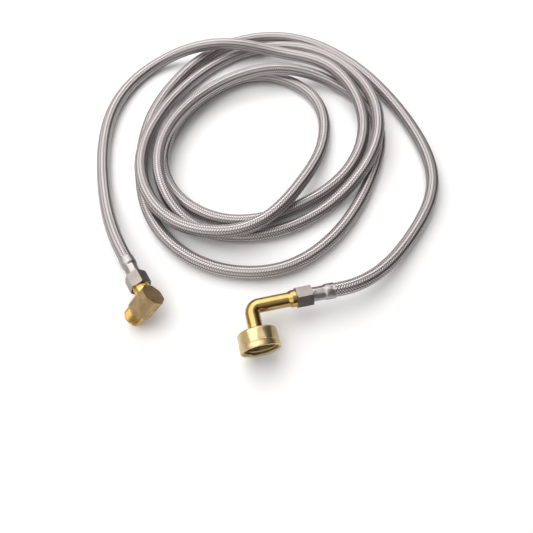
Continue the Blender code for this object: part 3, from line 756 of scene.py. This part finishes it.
outline += [(COUPLING_BORE + 1.0 * MM, end_height), (COUPLING_BORE, end_height - 0.8 * MM),
            (COUPLING_BORE, start + COUPLING_BACK_WALL), (COUPLING_HOLE, start + COUPLING_BACK_WALL)]
shape = turned_blank(outline, 144)
mill_flats(shape, GRIPS, GRIP_FLATS, start + 1.3 * MM, grip_end - 0.1 * MM)
bmesh.ops.rotate(
    shape, verts=shape.verts, cent=(0, 0, 0), matrix=Matrix.Rotation(GRIP_TURN, 3, "Z"))
thread_ridge(
    shape, COUPLING_BORE, HOSE_RIDGE, HOSE_THREAD,
    start + COUPLING_BACK_WALL + 5.4 * MM, end_height - 0.6 * MM, inward=True)
bmesh.ops.recalc_face_normals(shape, faces=shape.faces)
bmesh.ops.transform(shape, matrix=TO_OUTLET, verts=shape.verts)
coupling_finish = new_finish("satin_brass", (0.62, 0.47, 0.26), 1.0, 0.34)
mottle(coupling_finish, (0.66, 0.51, 0.29), (0.54, 0.40, 0.21), 150.0)
wear_gloss(coupling_finish, 0.26, 0.42, 280.0)
along_turning(coupling_finish, right_end @ TO_OUTLET, 2200.0, 0.30, 0.00006)
coupling = finished_piece(
    "hose_coupling", shape, right_end, coupling_finish, "coupling", 24.0)
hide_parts("coupling_nut")


# ------------------------------------------------------------------ hose washer
# A flat ring of black rubber, punched from sheet, which lies loose in the coupling
# against the tube's flange and seals it on the tap.
washer_finish = new_finish("washer_rubber", (0.035, 0.034, 0.033), 0.0, 0.65)
mottle(washer_finish, (0.045, 0.044, 0.042), (0.024, 0.023, 0.023), 800.0)
wear_gloss(washer_finish, 0.5, 0.75, 700.0)
refinish("hose_washer", washer_finish)


# ---------------------------------------------------------------------- studio
# A pale table top under soft light. The camera stands in front of the line, near
# enough for the two fittings to look larger than the far loops, and looks down.
CAMERA_AT = Vector((0.033, -0.179, 0.3845))
CAMERA_AIM = Vector((0.033, 0.043, 0.0))
CAMERA_LENS = 35.05

camera = bpy.data.cameras.new("camera")
camera.lens = CAMERA_LENS
camera.sensor_width = 36.0
camera.clip_start = 0.01
camera_stand = put_in_scene("camera", camera)
camera_stand.location = CAMERA_AT
camera_stand.rotation_euler = (CAMERA_AIM - CAMERA_AT).to_track_quat("-Z", "Y").to_euler()
bpy.context.scene.camera = camera_stand

LAMP_AIM = Vector((0.03, 0.12, 0.0))
LAMPS = (                            # name, place, side of the square, watts
    ("key_light", (-0.40, 0.35, 0.95), 1.30, 10.0),
    ("back_light", (0.10, 1.10, 0.70), 1.00, 5.0),
    ("fill_light", (-0.20, -0.80, 0.60), 0.80, 2.5))
for label, place, size, power in LAMPS:
    lamp = bpy.data.lights.new(label, "AREA")
    lamp.shape = "SQUARE"
    lamp.size = size
    lamp.energy = power
    stand = put_in_scene(label, lamp)
    stand.location = place
    stand.rotation_euler = (LAMP_AIM - Vector(place)).to_track_quat("-Z", "Y").to_euler()

# The room is pale above and to the left, and dim low down on the right, so that the
# metal has something dark to reflect.
PALE_WAY = (-0.62, 0.10, 0.78)
ROOM_DIM = (0.10, 0.09, 0.085)
ROOM_PALE = (1.0, 0.98, 0.96)
world = bpy.data.worlds.new("studio")
world.use_nodes = True
sky = world.node_tree.nodes["Background"]
sky.inputs["Strength"].default_value = 0.75
sky_way = add_node(world, "ShaderNodeTexCoord")
sky_dot = add_node(world, "ShaderNodeVectorMath", operation="DOT_PRODUCT")
sky_dot.inputs[1].default_value = PALE_WAY
sky_shades = add_node(world, "ShaderNodeValToRGB")
set_ramp(sky_shades, 0.10, ROOM_DIM, 0.75, ROOM_PALE)
join(world, sky_way.outputs["Generated"], sky_dot.inputs[0])
join(world, sky_dot.outputs["Value"], sky_shades.inputs["Fac"])
join(world, sky_shades.outputs["Color"], sky.inputs["Color"])
bpy.context.scene.world = world
bpy.context.scene.view_settings.view_transform = "Standard"

FLOOR_HALF = 3.0
WALL_RADIUS = 1.9
WALL_HEIGHT = 4.0


def backdrop(name, shape, finish):
    """A part of the room, which isn't part of the supply line."""
    mesh = bpy.data.meshes.new(name)
    shape.to_mesh(mesh)
    shape.free()
    mesh.materials.append(finish)
    made = put_in_scene(name, mesh)
    return made


table_top = bmesh.new()
bmesh.ops.create_grid(table_top, x_segments=1, y_segments=1, size=FLOOR_HALF)
bmesh.ops.translate(table_top, verts=table_top.verts, vec=(0, 0, -0.05 * MM))
backdrop("pale_floor", table_top, new_finish("pale_floor", (0.93, 0.93, 0.93), 0.0, 0.9))

# A pale wall closes the view from low down. It doesn't light the line or reflect in it.
wall_finish = new_finish("pale_wall", (0.0, 0.0, 0.0), 0.0, 1.0)
shader_of(wall_finish).inputs["Emission Color"].default_value = (0.86, 0.86, 0.86, 1.0)
shader_of(wall_finish).inputs["Emission Strength"].default_value = 1.0
wall_former = bmesh.new()
bmesh.ops.create_cone(
    wall_former, cap_ends=False, segments=96, radius1=WALL_RADIUS, radius2=WALL_RADIUS,
    depth=WALL_HEIGHT)
wall = backdrop("pale_wall", wall_former, wall_finish)
wall.visible_diffuse = False
wall.visible_glossy = False
wall.visible_transmission = False
wall.visible_shadow = False
